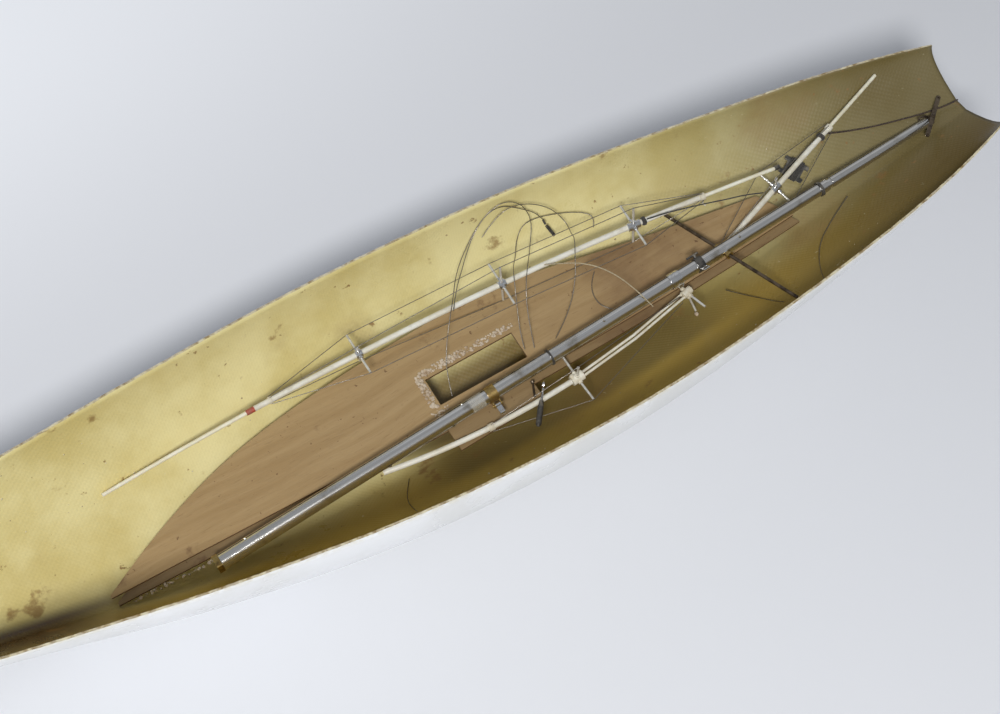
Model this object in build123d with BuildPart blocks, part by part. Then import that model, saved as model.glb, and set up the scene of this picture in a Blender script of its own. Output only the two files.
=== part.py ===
from build123d import *
import math
import os

os.makedirs("parts", exist_ok=True)

# Radio control sailing yacht: an open moulded hull that carries its loose rig and deck panels.
# X runs along the hull, bow at -X and open stern at +X. Z is up, and Z = 0 is the keel flat.
# The drawing starts from the mast step area; save() moves every piece so that X = 0 is mid length.

# ---------------------------------------------------------------- driving dimensions
mid_length = 175.0       # drawing origin measured from the middle of the hull
skin = 2.0               # hull laminate thickness
sheer_low = 140.0        # height of the hull edge at its lowest point
sheer_low_x = -41.0
sheer_rise = 9.15e-5     # hull edge height gained per square millimetre of distance
section_rise = 16.0      # sections run this far above the edge before it is trimmed

# x, half beam, keel height, fullness of the section, half width of the keel flat
stations = [
    (-810, 4, 184, 1.2, 1.0),
    (-795, 9, 166, 1.2, 1.8),
    (-780, 14, 152, 1.2, 2.5),
    (-755, 22, 134, 1.22, 3.5),
    (-725, 31, 118, 1.25, 4),
    (-650, 48, 88, 1.3, 5),
    (-570, 65, 66, 1.38, 5),
    (-500, 78, 47, 1.47, 5),
    (-435, 88.5, 26, 1.65, 6),
    (-370, 99, 9, 1.85, 9),
    (-300, 108.5, 1.6, 2.1, 12),
    (-190, 120.5, 1.3, 2.5, 12),
    (-80, 125.5, 4, 2.6, 12),
    (25, 124.5, 17, 2.6, 12),
    (135, 115.5, 38, 2.5, 11),
    (240, 102, 64, 2.3, 10),
    (330, 87.5, 91, 2.1, 9),
    (400, 72, 113, 2.0, 9),
    (460, 53.5, 130, 2.0, 8),
]

keel_flat = (-305, -150, 11, 2.4)  # start, end, half width and thickness of the pad under the keel

panel_thickness = 3.0
panel_gap = 0.4          # air between the two stacked deck panels
panel_height = 64.0      # upper face of the top panel above the keel at X = Y = 0
panel_slope_x = 0.085
panel_slope_y = 0.20
hatch_size = (88, 27)
hatch_centre = (-49, 19.5)

mast_foot = Vector(-320, -27, 46)
mast_head = Vector(422, 2, 127)
mast_foot_radius = 7.3
mast_joint_radius = 5.8
mast_top_radius = 5.3
mast_head_radius = 4.3
mast_wall = 0.9
mast_joint_at = 630.0    # distance of the two-part mast's joint from the foot
groove_angle = 60.0      # luff groove, measured from the far side upwards
groove_width = 1.4

spar_radius = 2.5
spar_bore = 1.95
spar_rod_radius = 1.7
arm_radius = 1.1
stay_radius = 0.35
wire_diameter = 0.8
fit = 0.05               # radial clearance of sleeves on tubes
air = 0.4                # clearance that keeps thin pieces apart

up = Vector(0, 0, 1)


# ---------------------------------------------------------------- helpers
def sheer_height(x):
    return sheer_low + sheer_rise * (x - sheer_low_x) ** 2


# Adds a round bar between two points to the part being built.
def bar(start, end, radius, mode=Mode.ADD):
    run = Vector(*end) - Vector(*start)
    with BuildSketch(Plane(origin=start, z_dir=run)) as disc:
        Circle(radius)
    extrude(disc.sketch, amount=run.length, mode=mode)


# Adds a bar whose radius changes evenly from one end to the other.
def taper(start, end, radius_a, radius_b, mode=Mode.ADD):
    run = Vector(*end) - Vector(*start)
    with BuildSketch(Plane(origin=start, z_dir=run)) as first:
        Circle(radius_a)
    with BuildSketch(Plane(origin=end, z_dir=run)) as last:
        Circle(radius_b)
    loft([first.sketch, last.sketch], mode=mode)


# Adds a ball, which rounds a joint or an end.
def ball(centre, radius):
    with Locations(centre):
        Sphere(radius)


# Adds a bent wire: a round bar along straight runs, mitred at each corner.
def bent_wire(points, radius):
    with BuildLine(mode=Mode.PRIVATE) as route:
        Polyline(*points)
    path = route.wires()[0]
    with BuildSketch(Plane(origin=path @ 0, z_dir=path % 0)) as disc:
        Circle(radius)
    sweep(disc.sketch, path=path, transition=Transition.RIGHT)


# Plane across a curve or a line, with its own X to the far side and its own Y up.
def cross_plane(origin, direction):
    return Plane(origin=origin, x_dir=up.cross(direction), z_dir=direction)


# Point on a cross plane, by angle from the far side and distance from the axis.
def around(plane, angle, distance, along=0.0):
    turn = math.radians(angle)
    return plane.from_local_coords((distance * math.cos(turn), distance * math.sin(turn), along))


# Adds a sleeve with a bore, centred on a cross plane.
def sleeve(plane, inner, outer, length):
    with BuildSketch(plane.offset(-length / 2)) as ring:
        Circle(outer)
        Circle(inner, mode=Mode.SUBTRACT)
    extrude(ring.sketch, amount=length)


# Adds a swept round tube along part of a curve.
def curved_bar(path, begin, finish, radius, mode=Mode.ADD):
    piece = path.trim(begin / path.length, finish / path.length)
    with BuildSketch(Plane(origin=piece @ 0, z_dir=piece % 0)) as disc:
        Circle(radius)
    sweep(disc.sketch, path=piece, mode=mode)


def save(builder, name):
    piece = builder.part.moved(Location((mid_length, 0, 0)))
    piece.label = name
    export_step(piece, f"parts/{name}.step")


# ---------------------------------------------------------------- hull
def hull_section(x, half_beam, keel, fullness, flat, inset):
    edge = sheer_height(x)
    floor_z = keel + inset
    half = half_beam - inset
    side = []
    for depth in (1.0, 0.93, 0.82, 0.68, 0.5, 0.3, 0.12, 0.0):
        width = flat + (half - flat) * (1 - depth ** fullness)
        side.append((width, edge - depth * (edge - floor_z)))
    top = (half, edge + section_rise)
    with BuildSketch(Plane(origin=(x, 0, 0), x_dir=(0, 1, 0), z_dir=(1, 0, 0))) as section:
        with BuildLine():
            Line((-flat, floor_z), (flat, floor_z))
            Spline(*side)
            Line(side[-1], top)
            Line(top, (-half, top[1]))
            Line((-half, top[1]), (-half, side[-1][1]))
            Spline(*[(-y, z) for y, z in reversed(side)])
        make_face()
    return section.sketch


with BuildPart() as hull_shell:
    loft([hull_section(*station, inset=0) for station in stations])
    pad_start, pad_end, pad_half, pad_thickness = keel_flat
    with Locations(((pad_start + pad_end) / 2, 0, pad_thickness / 2)):
        Box(pad_end - pad_start, 2 * pad_half, pad_thickness)
    inner_stations = stations[3:-1] + [(stations[-1][0] + 2,) + stations[-1][1:]]
    inside = [hull_section(*row[:4], flat=row[4] * 0.85, inset=skin) for row in inner_stations]
    loft(inside, mode=Mode.SUBTRACT)
    with BuildSketch(Plane.XZ):
        with BuildLine():
            edge_line = Spline(*[(x, sheer_height(x)) for x in (-840, -600, -400, -200, 0, 200, 400, 500)])
            Polyline(edge_line @ 1, (500, 320), (-840, 320), edge_line @ 0)
        make_face()
    extrude(amount=200, both=True, mode=Mode.SUBTRACT)
save(hull_shell, "hull_shell")


# ---------------------------------------------------------------- deck panels
panel_plane = Plane(
    origin=(0, 0, panel_height),
    x_dir=(1, 0, panel_slope_x),
    z_dir=(-panel_slope_x, -panel_slope_y, 1),
)
panel_far_edge = [
    (-411, 1), (-364, 24), (-282, 54), (-182, 71), (-80, 78), (10, 77), (113, 58), (201, 43), (258, 34),
]
panel_near_edge = [(277, 1), (140, -7), (-2, -10), (-208, -7), (-411, -1.5)]


# Half deck outline: a bowed sheer edge, a slanted end and a nearly straight centre edge.
def deck_half(shift, hatch):
    with BuildLine() as outline:
        far_edge = Spline(*[(u + shift[0], v + shift[1]) for u, v in panel_far_edge])
        near_edge = Spline(*[(u + shift[0], v + shift[1]) for u, v in panel_near_edge])
        Line(far_edge @ 1, near_edge @ 0)
        Line(near_edge @ 1, far_edge @ 0)
    make_face(outline.edges())
    with Locations(hatch_centre):
        Rectangle(*hatch, mode=Mode.SUBTRACT)


with BuildPart() as deck_panel_upper:
    with BuildSketch(panel_plane):
        deck_half((0, 0), hatch_size)
    extrude(amount=-panel_thickness)
save(deck_panel_upper, "deck_panel_upper")

lower_plane = panel_plane.offset(-panel_thickness - panel_gap)
with BuildPart() as deck_panel_lower:
    with BuildSketch(lower_plane):
        deck_half((2.5, -7.5), (hatch_size[0] + 8, hatch_size[1] + 6))
    extrude(amount=-panel_thickness)
save(deck_panel_lower, "deck_panel_lower")

# The piece once cut out of the hatch, lying beside the panel and under the mast.
with BuildPart() as hatch_cover:
    with BuildSketch(lower_plane.offset(panel_gap)):
        with Locations(Location((-56, -24.5), 2)):
            Rectangle(hatch_size[0] - 2, hatch_size[1] - 2)
    extrude(amount=panel_thickness)
save(hatch_cover, "hatch_cover")

# Old sealant left on two sides of the hatch.
sealant_width = 8
with BuildPart() as hatch_sealant:
    with BuildSketch(panel_plane):
        far_side = hatch_centre[1] + hatch_size[1] / 2 + sealant_width / 2 + 0.5
        bow_side = hatch_centre[0] - hatch_size[0] / 2 - sealant_width / 2 - 0.5
        with Locations((hatch_centre[0] - 3, far_side)):
            Rectangle(hatch_size[0] + 12, sealant_width)
        with Locations((bow_side, hatch_centre[1] + 1)):
            Rectangle(sealant_width, hatch_size[1] + 4)
    extrude(amount=1.2)
save(hatch_sealant, "hatch_sealant")

# ---------------------------------------------------------------- mast
mast_run = (mast_head - mast_foot).normalized()
mast_length = (mast_head - mast_foot).length


def on_mast(distance):
    return mast_foot + mast_run * distance


def mast_radius(distance):
    return mast_foot_radius + (mast_joint_radius - mast_foot_radius) * distance / mast_joint_at


def mast_plane(distance):
    return cross_plane(on_mast(distance), mast_run)


groove_out = around(mast_plane(0), groove_angle, 1) - mast_foot

# The spreader rod crosses the mast through a bush.
bush_centre = on_mast(512)
bush_radius = 2.6
rod_run = Vector(-36.5, 149, -19.2).normalized()
rod_far_end = bush_centre + rod_run * 67
rod_near_end = bush_centre - rod_run * 85

with BuildPart() as mast_tube:
    joint = on_mast(mast_joint_at)
    taper(mast_foot, joint, mast_foot_radius, mast_joint_radius)
    taper(mast_foot, joint, mast_foot_radius - mast_wall, mast_joint_radius - mast_wall, Mode.SUBTRACT)
    luff_foot = mast_foot + groove_out * (mast_foot_radius - 2.2)
    luff_joint = joint + groove_out * (mast_joint_radius - 2.2)
    bar(luff_foot, luff_joint, 2.0)
    bar(luff_foot, luff_joint, 1.2, Mode.SUBTRACT)
    with BuildSketch(Plane(origin=mast_foot, x_dir=groove_out, z_dir=mast_run)):
        with Locations((mast_foot_radius, 0)):
            Rectangle(5, groove_width)
    extrude(amount=mast_joint_at, mode=Mode.SUBTRACT)
    bar(bush_centre - rod_run * 12, bush_centre + rod_run * 12, bush_radius, Mode.SUBTRACT)
save(mast_tube, "mast_tube")

joint_gap = 4.5
ferrule_radius = mast_top_radius - mast_wall
with BuildPart() as mast_top_tube:
    top_start = on_mast(mast_joint_at + joint_gap)
    taper(top_start, mast_head, mast_top_radius, mast_head_radius)
    taper(top_start, mast_head, ferrule_radius + fit, mast_head_radius - mast_wall, Mode.SUBTRACT)
    with BuildSketch(Plane(origin=top_start, x_dir=groove_out, z_dir=mast_run)):
        with Locations((mast_top_radius, 0)):
            Rectangle(2.6, groove_width)
    extrude(amount=mast_length - mast_joint_at - joint_gap, mode=Mode.SUBTRACT)
save(mast_top_tube, "mast_top_tube")

# Solid ferrule that joins the two parts of the mast.
with BuildPart() as mast_ferrule:
    taper(on_mast(mast_joint_at + 0.2), on_mast(mast_joint_at + 40), ferrule_radius, ferrule_radius - 0.5)
    sleeve(mast_plane(mast_joint_at + joint_gap / 2), 0.5, ferrule_radius + 0.3, joint_gap - 0.4)
save(mast_ferrule, "mast_ferrule")

with BuildPart() as mast_foot_plug:
    foot_plane = mast_plane(0)
    with BuildSketch(foot_plane.offset(-5)):
        RectangleRounded(12.5, 12.5, 1.5)
    extrude(amount=4.8)
    with BuildSketch(foot_plane.offset(-0.2)):
        Circle(2.8)
    extrude(amount=6)
    with BuildSketch(foot_plane.offset(-5)):
        Circle(1.6)
    extrude(amount=4, mode=Mode.SUBTRACT)
save(mast_foot_plug, "mast_foot_plug")

# Rivets on the near side and small screws beside the groove.
rivet_places = [(160, 195), (224, 195)]
screw_places = [(26, 62), (239, 62), (384, 100), (531, 100)]
with BuildPart() as mast_fasteners:
    for distance, angle in rivet_places + screw_places:
        seat = mast_radius(distance) + 0.05
        foot = around(mast_plane(distance), angle, seat)
        outward = (foot - on_mast(distance)).normalized()
        head = 1.7 if angle > 180 else 1.2
        taper(foot, foot + outward * 0.9, head, head * 0.55)
save(mast_fasteners, "mast_fasteners")

tape_at = 243.0
with BuildPart() as mast_tape:
    sleeve(mast_plane(tape_at + 8), mast_radius(tape_at) + fit, mast_radius(tape_at) + 0.35, 13)
save(mast_tape, "mast_tape")

ring_places = [(327, 1.6), (622, 2.6)]
with BuildPart() as mast_rings:
    for distance, width in ring_places:
        sleeve(mast_plane(distance), mast_radius(distance - 4) + fit, mast_radius(distance) + 1.1, width)
save(mast_rings, "mast_rings")

# Brass gooseneck band with two eyes that hold the boom pin beside the mast.
gooseneck_at = 266.0
gooseneck_side = 200.0
neck_plane = mast_plane(gooseneck_at)
neck_reach = mast_radius(gooseneck_at) + 4.2
pin_radius = 0.8
with BuildPart() as gooseneck_band:
    sleeve(neck_plane, mast_radius(gooseneck_at - 6) + fit, mast_radius(gooseneck_at) + 0.9, 9)
    for side in (-1, 1):
        eye = around(neck_plane, gooseneck_side, neck_reach, side * 3.4)
        root = around(neck_plane, gooseneck_side, mast_radius(gooseneck_at) + 0.5, side * 3.4)
        with BuildSketch(Plane(origin=eye, x_dir=eye - root, z_dir=mast_run).offset(-0.5)):
            Circle(2.0)
            with Locations((-2.0, 0)):
                Rectangle(4.0, 3.2)
        extrude(amount=1.0)
    pin_foot = around(neck_plane, gooseneck_side, neck_reach, -5.2)
    pin_top = around(neck_plane, gooseneck_side, neck_reach, 5.2)
    bar(pin_foot, pin_top, pin_radius)
save(gooseneck_band, "gooseneck_band")

# Tang that swings on the boom pin.
with BuildPart() as gooseneck_tang:
    pin_centre = around(neck_plane, gooseneck_side, neck_reach)
    tang_out = (pin_centre - on_mast(gooseneck_at)).normalized()
    with BuildSketch(Plane(origin=pin_centre, x_dir=tang_out, z_dir=mast_run).offset(-2.4)):
        Circle(1.9)
        with Locations((3.4, 0)):
            Rectangle(6.8, 2.4)
        with Locations((7.4, 0)):
            Circle(1.9)
        Circle(pin_radius + fit, mode=Mode.SUBTRACT)
        with Locations((7.4, 0)):
            Circle(0.8, mode=Mode.SUBTRACT)
    extrude(amount=4.8)
save(gooseneck_tang, "gooseneck_tang")

# Polished clamp that carries a brass hook.
clamp_at = 460.0
with BuildPart() as mast_clamp:
    clamp_plane = mast_plane(clamp_at)
    sleeve(clamp_plane, mast_radius(clamp_at - 8) + fit, mast_radius(clamp_at) + 1.0, 11)
    hook_root = around(clamp_plane, 235, mast_radius(clamp_at) + 0.6, 2)
    hook_points = [
        hook_root,
        around(clamp_plane, 235, mast_radius(clamp_at) + 3.6, 3),
        around(clamp_plane, 245, mast_radius(clamp_at) + 5.0, 6),
        around(clamp_plane, 255, mast_radius(clamp_at) + 3.4, 8.5),
    ]
    bent_wire(hook_points, 0.8)
save(mast_clamp, "mast_clamp")

# Black band with a two-horned cleat on the far side.
band_at = 487.0
with BuildPart() as cleat_band:
    band_plane = mast_plane(band_at)
    sleeve(band_plane, mast_radius(band_at - 6) + fit, mast_radius(band_at) + 0.9, 7)
    cleat_foot = around(band_plane, 35, mast_radius(band_at) + 0.6)
    cleat_seat = around(band_plane, 35, mast_radius(band_at) + 3.4)
    bar(cleat_foot, cleat_seat, 1.5)
    bar(cleat_seat - mast_run * 8, cleat_seat + mast_run * 4, 1.0)
    lug = around(band_plane, 150, mast_radius(band_at) + 2.4)
    lug_root = around(band_plane, 150, mast_radius(band_at) + 0.5)
    with BuildSketch(Plane(origin=lug, x_dir=lug - lug_root, z_dir=mast_run).offset(-0.7)):
        Circle(1.9)
        with Locations((-1.2, 0)):
            Rectangle(2.4, 3.6)
        Circle(0.9, mode=Mode.SUBTRACT)
    extrude(amount=1.4)
save(cleat_band, "cleat_band")

# Steel shackle that hangs in the band's lug.
shackle_axis = mast_run
shackle_out = (lug - lug_root).normalized()
shackle_across = shackle_axis.cross(shackle_out)
with BuildPart() as band_shackle:
    leg_a = lug - shackle_axis * 2.4
    leg_b = lug + shackle_axis * 2.4
    reach = shackle_out * 5.5 - shackle_across * 1.0
    bar(leg_a, leg_b, 0.8)
    bent_wire([leg_a - shackle_axis * 0.2, leg_a + reach, leg_b + reach, leg_b + shackle_axis * 0.2], 0.8)
save(band_shackle, "band_shackle")

# Brass bush through the mast, and the rod that slides in it.
rod_radius = 1.6
with BuildPart() as spreader_bush:
    near_face = bush_centre - rod_run * 9.0
    far_face = bush_centre + rod_run * 7.0
    bar(near_face, far_face, bush_radius - 0.02)
    bar(near_face - rod_run, near_face + rod_run * 1.2, bush_radius + 1.0)
    bar(near_face - rod_run * 3, far_face + rod_run * 3, rod_radius + fit, Mode.SUBTRACT)
save(spreader_bush, "spreader_bush")

with BuildPart() as spreader_rod:
    bar(rod_near_end, rod_far_end, rod_radius)
    hook_way = up.cross(rod_run).normalized()
    bent_wire(
        [
            rod_far_end - rod_run * 2,
            rod_far_end + rod_run * 3.0,
            rod_far_end + rod_run * 4.0 + hook_way * 3,
            rod_far_end + rod_run * 1.5 + hook_way * 4.5,
        ],
        0.7,
    )
save(spreader_rod, "spreader_rod")

# Plug in the mast head, with the pin that the crane turns on.
crane_centre = Vector(424.5, -0.5, 136)
with BuildPart() as masthead_plug:
    head_plane = cross_plane(mast_head, mast_run)
    with BuildSketch(head_plane.offset(0.2)):
        Circle(mast_head_radius)
    extrude(amount=5)
    with BuildSketch(head_plane.offset(-9)):
        Circle(mast_head_radius - mast_wall - 0.5)
    extrude(amount=9.3)
    bar(crane_centre - up * 9, crane_centre + up * 2.4, 1.0)
    bar(crane_centre - up * 3.4, crane_centre - up * 1.0, 2.4)
    bar(crane_centre + up * 1.2, crane_centre + up * 2.2, 2.2)
    bent_wire(
        [
            head_plane.from_local_coords((1.2, 3.4, 2.5)),
            head_plane.from_local_coords((2.5, 7.0, -1)),
            head_plane.from_local_coords((4.0, 7.6, -6)),
            head_plane.from_local_coords((3.0, 6.6, -9)),
        ],
        0.9,
    )
save(masthead_plug, "masthead_plug")

crane_length = 52.0
crane_turn = 39.0
with BuildPart() as masthead_crane:
    with BuildSketch(Plane.XY.offset(crane_centre.Z - 0.8)):
        with Locations(Location((crane_centre.X, crane_centre.Y), crane_turn)):
            SlotOverall(crane_length, 4.0)
        with Locations((crane_centre.X, crane_centre.Y)):
            Circle(1.0 + fit, mode=Mode.SUBTRACT)
        for side in (-1, 1):
            reach = side * (crane_length / 2 - 2.2)
            turn = math.radians(crane_turn)
            with Locations((crane_centre.X + reach * math.cos(turn), crane_centre.Y + reach * math.sin(turn))):
                Circle(0.8, mode=Mode.SUBTRACT)
    extrude(amount=1.6)
save(masthead_crane, "masthead_crane")

# ---------------------------------------------------------------- stayed spars
boss_reach = 6.0
boss_radius = 2.0


# Hub: a sleeve on the spar with one boss for each spreader arm.
def spar_hub(plane, angles, inner, outer, length):
    sleeve(plane, inner, outer, length)
    for angle in angles:
        bar(around(plane, angle, outer - 0.6), around(plane, angle, boss_reach), boss_radius)


def spar_arms(plane, angles, reach):
    for angle in angles:
        bar(around(plane, angle, boss_reach), around(plane, angle, reach), arm_radius)


# One stay: straight wires from the first collar past each arm's tip to the last collar.
def stay(planes, angle, reaches):
    points = [around(plane, angle, reach) for plane, reach in zip(planes, reaches)]
    bent_wire(points, stay_radius)


cross_angles = (0, 90, 180, 270)

# Spar A: a bowed tube with three spreader hubs, a thin tip and a telescoping heel rod.
with BuildLine(mode=Mode.PRIVATE) as spar_a_line:
    ThreePointArc((-380, 62, 77), (2, 61, 103), (276, 33, 121))
spar_a_path = spar_a_line.edge()
a_tape_at = 143.0
a_first_collar = 158.0
a_hubs_at = (243.0, 383.0, 514.0)
a_hub_reach = (22.0, 24.0, 24.0)
a_last_collar = 586.0


def spar_a_plane(distance):
    place = distance / spar_a_path.length
    return cross_plane(spar_a_path @ place, spar_a_path % place)


with BuildPart() as spar_a_tube:
    curved_bar(spar_a_path, a_tape_at, a_last_collar, spar_radius)
    curved_bar(spar_a_path, a_tape_at, a_last_collar, spar_bore, Mode.SUBTRACT)
save(spar_a_tube, "spar_a_tube")

with BuildPart() as spar_a_tip:
    curved_bar(spar_a_path, 0, a_tape_at + 30, spar_rod_radius)
save(spar_a_tip, "spar_a_tip")

with BuildPart() as spar_a_heel:
    curved_bar(spar_a_path, a_last_collar - 60, spar_a_path.length - 3, spar_rod_radius)
save(spar_a_heel, "spar_a_heel")

with BuildPart() as spar_a_heel_plug:
    heel_plane = spar_a_plane(spar_a_path.length - 3)
    with BuildSketch(heel_plane):
        Circle(2.3)
    extrude(amount=5)
save(spar_a_heel_plug, "spar_a_heel_plug")

# Red tape that binds the thin tip to the tube.
with BuildPart() as spar_a_tape:
    sleeve(spar_a_plane(a_tape_at - 4), spar_rod_radius + fit, spar_rod_radius + 0.8, 7.6)
save(spar_a_tape, "spar_a_tape")

with BuildPart() as spar_a_collars:
    sleeve(spar_a_plane(a_first_collar), spar_radius + fit, spar_radius + 0.8, 3)
    sleeve(spar_a_plane(a_last_collar - 3), spar_radius + fit, spar_radius + 0.9, 5)
    hook_plane = spar_a_plane(a_last_collar - 3)
    bent_wire(
        [
            around(hook_plane, 250, spar_radius + 0.5),
            around(hook_plane, 250, spar_radius + 5.0),
            around(hook_plane, 235, spar_radius + 6.5, 1.5),
        ],
        0.8,
    )
save(spar_a_collars, "spar_a_collars")

with BuildPart() as spar_a_hubs:
    for distance, length in zip(a_hubs_at, (6, 7, 12)):
        spar_hub(spar_a_plane(distance), cross_angles, spar_radius + fit, 4.0, length)
save(spar_a_hubs, "spar_a_hubs")

small_hub_reach = {0: 22.0, 90: 10.0, 180: 22.0, 270: 10.0}
with BuildPart() as spar_a_arms:
    for angle in cross_angles:
        spar_arms(spar_a_plane(a_hubs_at[0]), [angle], small_hub_reach[angle])
        for distance, reach in zip(a_hubs_at[1:], a_hub_reach[1:]):
            spar_arms(spar_a_plane(distance), [angle], reach)
save(spar_a_arms, "spar_a_arms")

tip_air = stay_radius + air
with BuildPart() as spar_a_stays:
    stay_planes = [spar_a_plane(d) for d in (a_first_collar, *a_hubs_at, a_last_collar - 3)]
    for angle in cross_angles:
        reaches = [
            spar_radius + 0.9 + tip_air,
            small_hub_reach[angle] + tip_air,
            a_hub_reach[1] + tip_air,
            a_hub_reach[2] + tip_air,
            spar_radius + 1.0 + tip_air,
        ]
        stay(stay_planes, angle, reaches)
save(spar_a_stays, "spar_a_stays")

# Line seized round the spar beside the last hub.
with BuildPart() as spar_a_knot:
    for offset in (0, 1.3, 2.6):
        sleeve(spar_a_plane(a_hubs_at[2] + 9 + offset), spar_radius + fit, spar_radius + 1.3, 1.2)
save(spar_a_knot, "spar_a_knot")

# Spar B: a straight tube with one hub and a telescoping tip.
b_low = Vector(190, 0, 86)
b_high = Vector(403, 60, 147)
b_run = (b_high - b_low).normalized()
b_length = (b_high - b_low).length
b_hub_at = 84.0
b_knot_at = 148.0
b_collar_at = 163.0


def spar_b_plane(distance):
    return cross_plane(b_low + b_run * distance, b_run)


with BuildPart() as spar_b_tube:
    bar(b_low, b_low + b_run * b_collar_at, spar_radius)
    bar(b_low - b_run, b_low + b_run * (b_collar_at + 1), spar_bore, Mode.SUBTRACT)
save(spar_b_tube, "spar_b_tube")

with BuildPart() as spar_b_tip:
    bar(b_low + b_run * (b_collar_at - 70), b_high, spar_rod_radius)
save(spar_b_tip, "spar_b_tip")

with BuildPart() as spar_b_fittings:
    sleeve(spar_b_plane(b_collar_at - 2), spar_radius + fit, spar_radius + 0.9, 4)
    sleeve(spar_b_plane(12), spar_radius + fit, spar_radius + 0.8, 4)
save(spar_b_fittings, "spar_b_fittings")

b_arm_angles = (20, 95, 205)
b_arm_reach = 20.0
with BuildPart() as spar_b_hub:
    spar_hub(spar_b_plane(b_hub_at), b_arm_angles, spar_radius + fit, 4.0, 9)
save(spar_b_hub, "spar_b_hub")

with BuildPart() as spar_b_arms:
    spar_arms(spar_b_plane(b_hub_at), b_arm_angles, b_arm_reach)
save(spar_b_arms, "spar_b_arms")

with BuildPart() as spar_b_stays:
    for angle in b_arm_angles:
        planes = [spar_b_plane(d) for d in (12, b_hub_at, b_collar_at - 2)]
        collar_reach = spar_radius + 0.9 + tip_air
        stay(planes, angle, [collar_reach, b_arm_reach + tip_air, collar_reach + 0.1])
save(spar_b_stays, "spar_b_stays")

with BuildPart() as spar_b_knot:
    for offset in (0, 1.3, 2.6):
        sleeve(spar_b_plane(b_knot_at + offset), spar_radius + fit, spar_radius + 1.3, 1.2)
save(spar_b_knot, "spar_b_knot")

# Spar C: a bowed tube on the near side, continued by a pair of thin rods to its end hub.
with BuildLine(mode=Mode.PRIVATE) as spar_c_line:
    ThreePointArc((-165, -21, 45), (-20, -37, 61.5), (151, -17, 83))
spar_c_path = spar_c_line.edge()
c_collar_at = 100.0
c_hub_at = 187.0
c_star_at = spar_c_path.length - 6


def spar_c_plane(distance):
    place = distance / spar_c_path.length
    return cross_plane(spar_c_path @ place, spar_c_path % place)


with BuildPart() as spar_c_tube:
    curved_bar(spar_c_path, 0, c_hub_at - 6, spar_radius)
    curved_bar(spar_c_path, 0, c_hub_at - 6, spar_bore, Mode.SUBTRACT)
save(spar_c_tube, "spar_c_tube")

pair_offset = 1.9
pair_radius = 1.2
with BuildPart() as spar_c_rods:
    for angle in (0, 180):
        start = around(spar_c_plane(c_hub_at + 6), angle, pair_offset)
        middle = around(spar_c_plane((c_hub_at + c_star_at) / 2), angle, pair_offset)
        end = around(spar_c_plane(c_star_at - 5), angle, pair_offset)
        bent_wire([start, middle, end], pair_radius)
save(spar_c_rods, "spar_c_rods")

c_hub_angles = (20, 100, 190)
c_star_angles = (0, 180, 240)
with BuildPart() as spar_c_fittings:
    spar_hub(spar_c_plane(c_hub_at), c_hub_angles, 0.6, 4.6, 11.6)
    ball(around(spar_c_plane(c_hub_at - 4), 60, 4.2), 2.2)
    spar_hub(spar_c_plane(c_star_at), c_star_angles, 0.6, 3.6, 9.6)
    sleeve(spar_c_plane(c_collar_at), spar_radius + fit, spar_radius + 1.0, 5)
save(spar_c_fittings, "spar_c_fittings")

c_hub_reach = 24.0
c_star_reach = 22.0
with BuildPart() as spar_c_arms:
    spar_arms(spar_c_plane(c_hub_at), c_hub_angles, c_hub_reach)
    spar_arms(spar_c_plane(c_star_at), c_star_angles, c_star_reach)
save(spar_c_arms, "spar_c_arms")

with BuildPart() as spar_c_stays:
    for angle in (190, 100):
        planes = [spar_c_plane(d) for d in (c_collar_at, c_hub_at, c_star_at - 9)]
        stay(planes, angle, [spar_radius + 1.1 + tip_air, c_hub_reach + tip_air, 3.7 + tip_air])
save(spar_c_stays, "spar_c_stays")


# ---------------------------------------------------------------- small loose fittings
# Rigging screw: a black barrel that turns on a threaded stud.
screw_top = Vector(-11, -30, 71)
screw_bottom = Vector(-33, -57, 59)
screw_run = (screw_bottom - screw_top).normalized()
screw_length = (screw_bottom - screw_top).length
barrel_from = 14.0
with BuildPart() as turnbuckle_barrel:
    barrel_top = screw_top + screw_run * barrel_from
    barrel_mid = screw_top + screw_run * (barrel_from + 6)
    taper(barrel_top, barrel_mid, 1.7, 2.6)
    bar(barrel_mid, screw_bottom - screw_run * 2, 2.6)
    taper(screw_bottom - screw_run * 2, screw_bottom, 2.6, 1.6)
    bar(barrel_top - screw_run, barrel_top + screw_run * 14, 1.0 + fit, Mode.SUBTRACT)
save(turnbuckle_barrel, "turnbuckle_barrel")

with BuildPart() as turnbuckle_stud:
    bar(screw_top + screw_run * 2.4, screw_top + screw_run * (barrel_from + 10), 1.0)
    with BuildSketch(Plane(origin=screw_top, x_dir=screw_run, z_dir=screw_run.cross(up)).offset(-0.8)):
        Circle(3.0)
        Circle(1.2, mode=Mode.SUBTRACT)
    extrude(amount=1.6)
save(turnbuckle_stud, "turnbuckle_stud")

with BuildPart() as loose_screw:
    pin_top = Vector(-15, -19, 62.5)
    pin_end = Vector(-20, -30.5, 60)
    pin_run = (pin_end - pin_top).normalized()
    bar(pin_top, pin_end, 1.0)
    taper(pin_top - pin_run * 1.6, pin_top, 2.0, 1.3)
save(loose_screw, "loose_screw")

# Line winder hanging under spar B: a notched plate with its hank of line.
winder_plane = Plane(origin=(298, 34, 104), x_dir=(0.9, 0.45, 0.4), z_dir=(-0.27, -0.45, 1))
with BuildPart() as line_winder:
    with BuildSketch(winder_plane.offset(-0.7)):
        RectangleRounded(17, 24, 1.5)
        with Locations((0, 12), (0, -12)):
            RectangleRounded(9, 7, 1, mode=Mode.SUBTRACT)
    extrude(amount=1.4)
save(line_winder, "line_winder")

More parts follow.
